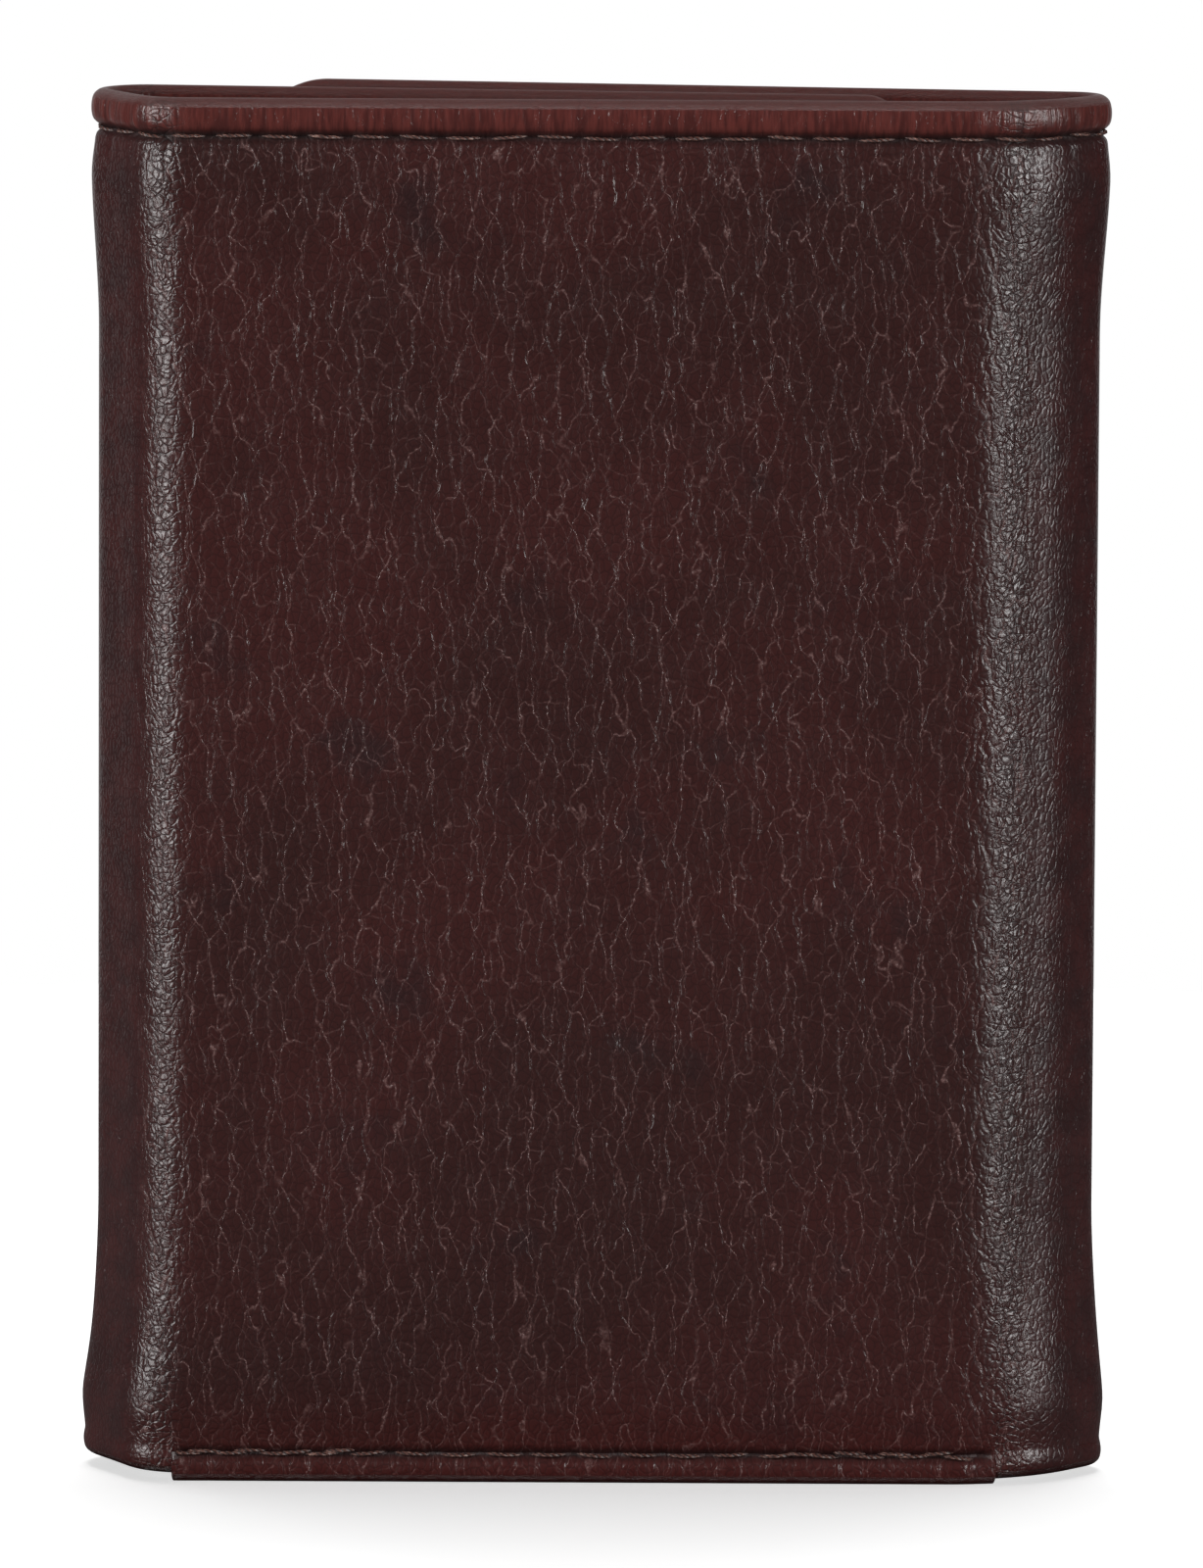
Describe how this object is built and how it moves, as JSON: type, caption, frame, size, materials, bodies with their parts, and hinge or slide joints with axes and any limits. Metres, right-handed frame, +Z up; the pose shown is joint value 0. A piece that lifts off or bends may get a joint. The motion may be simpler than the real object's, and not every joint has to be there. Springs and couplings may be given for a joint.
{
  "type": "trifold wallet",
  "caption": "Dark brown pebbled leather trifold wallet, folded shut, with two flaps that open on soft folds, a bill compartment, card pockets and an ID window.",
  "frame": {"origin": "middle of the closed wallet's bottom, between the outer faces of both folds and of the centre panel and outer flap", "axes": "+Z up along the height; -Y is the way the centre panel's outer face looks; +X towards the fold that the outer flap hangs on"},
  "size_m": [0.08, 0.0192, 0.11],
  "materials": {
    "shell_leather": "semi-gloss pebbled grain",
    "divider_leather": "smooth satin",
    "pocket_leather": "smooth satin with fine grain",
    "lining_fabric": "fine woven",
    "clear_film": "clear gloss",
    "thread": "twisted thread"
  },
  "bodies": {
    "centre_panel": {"centre_shell": "shell_leather", "centre_lining": "lining_fabric", "centre_divider": "divider_leather", "centre_card_leaf_1": "pocket_leather", "centre_card_leaf_2": "pocket_leather", "centre_card_leaf_3": "pocket_leather", "centre_top_seam": "thread", "centre_bottom_seam": "thread", "centre_pocket_seam": "thread"},
    "inner_flap": {"inner_flap_shell": "shell_leather", "inner_flap_lining": "lining_fabric", "inner_flap_divider": "divider_leather", "id_window_backing": "lining_fabric", "id_window_film": "clear_film", "id_window_frame": "pocket_leather", "id_window_seam": "thread", "inner_flap_edge_seam": "thread"},
    "outer_flap": {"outer_flap_shell": "shell_leather", "outer_flap_lining": "lining_fabric", "outer_flap_divider": "divider_leather", "outer_flap_card_leaf_1": "pocket_leather", "outer_flap_card_leaf_2": "pocket_leather", "outer_flap_card_leaf_3": "pocket_leather", "outer_flap_pocket_seam": "thread", "outer_flap_edge_seam": "thread"},
    "inner_fold_a": {"inner_fold_shell_a": "shell_leather", "inner_fold_lining_a": "lining_fabric", "inner_fold_divider_a": "divider_leather", "inner_fold_seam_a": "thread"},
    "inner_fold_b": {"inner_fold_shell_b": "shell_leather", "inner_fold_lining_b": "lining_fabric", "inner_fold_divider_b": "divider_leather", "inner_fold_seam_b": "thread"},
    "outer_fold_a": {"outer_fold_shell_a": "shell_leather", "outer_fold_lining_a": "lining_fabric", "outer_fold_divider_a": "divider_leather", "outer_fold_seam_a": "thread"},
    "outer_fold_b": {"outer_fold_shell_b": "shell_leather", "outer_fold_lining_b": "lining_fabric", "outer_fold_divider_b": "divider_leather", "outer_fold_seam_b": "thread"}
  },
  "joints": [
    {"name": "outer_fold_hinge_1", "type": "hinge", "parent": "centre_panel", "child": "outer_fold_a", "pos_m": [0.03553, -0.00898, 0.055], "axis": [0, 0, -1], "range_deg": [0, 57.43]},
    {"name": "outer_fold_hinge_2", "type": "hinge", "parent": "outer_fold_a", "child": "outer_fold_b", "pos_m": [0.04011, -0.00255, 0.055], "axis": [0, 0, -1], "range_deg": [0, 57.43]},
    {"name": "outer_fold_hinge_3", "type": "hinge", "parent": "outer_fold_b", "child": "outer_flap", "pos_m": [0.03877, 0.00035, 0.055], "axis": [0, 0, -1], "range_deg": [0, 57.43]},
    {"name": "inner_fold_hinge_1", "type": "hinge", "parent": "centre_panel", "child": "inner_fold_a", "pos_m": [-0.03563, -0.00922, 0.055], "axis": [0, 0, 1], "range_deg": [0, 19.15]},
    {"name": "inner_fold_hinge_2", "type": "hinge", "parent": "inner_fold_a", "child": "inner_fold_b", "pos_m": [-0.04016, -0.00088, 0.055], "axis": [0, 0, 1], "range_deg": [0, 19.15]},
    {"name": "inner_fold_hinge_3", "type": "hinge", "parent": "inner_fold_b", "child": "inner_flap", "pos_m": [-0.03761, 0.00271, 0.055], "axis": [0, 0, 1], "range_deg": [0, 19.15]}
  ],
  "couplings": [
    {"joint": "outer_fold_hinge_2", "follows": "outer_fold_hinge_1", "ratio": 1},
    {"joint": "outer_fold_hinge_3", "follows": "outer_fold_hinge_1", "ratio": 1},
    {"joint": "inner_fold_hinge_1", "follows": "outer_fold_hinge_1", "ratio": 0.33333},
    {"joint": "inner_fold_hinge_2", "follows": "outer_fold_hinge_1", "ratio": 0.33333},
    {"joint": "inner_fold_hinge_3", "follows": "outer_fold_hinge_1", "ratio": 0.33333}
  ]
}
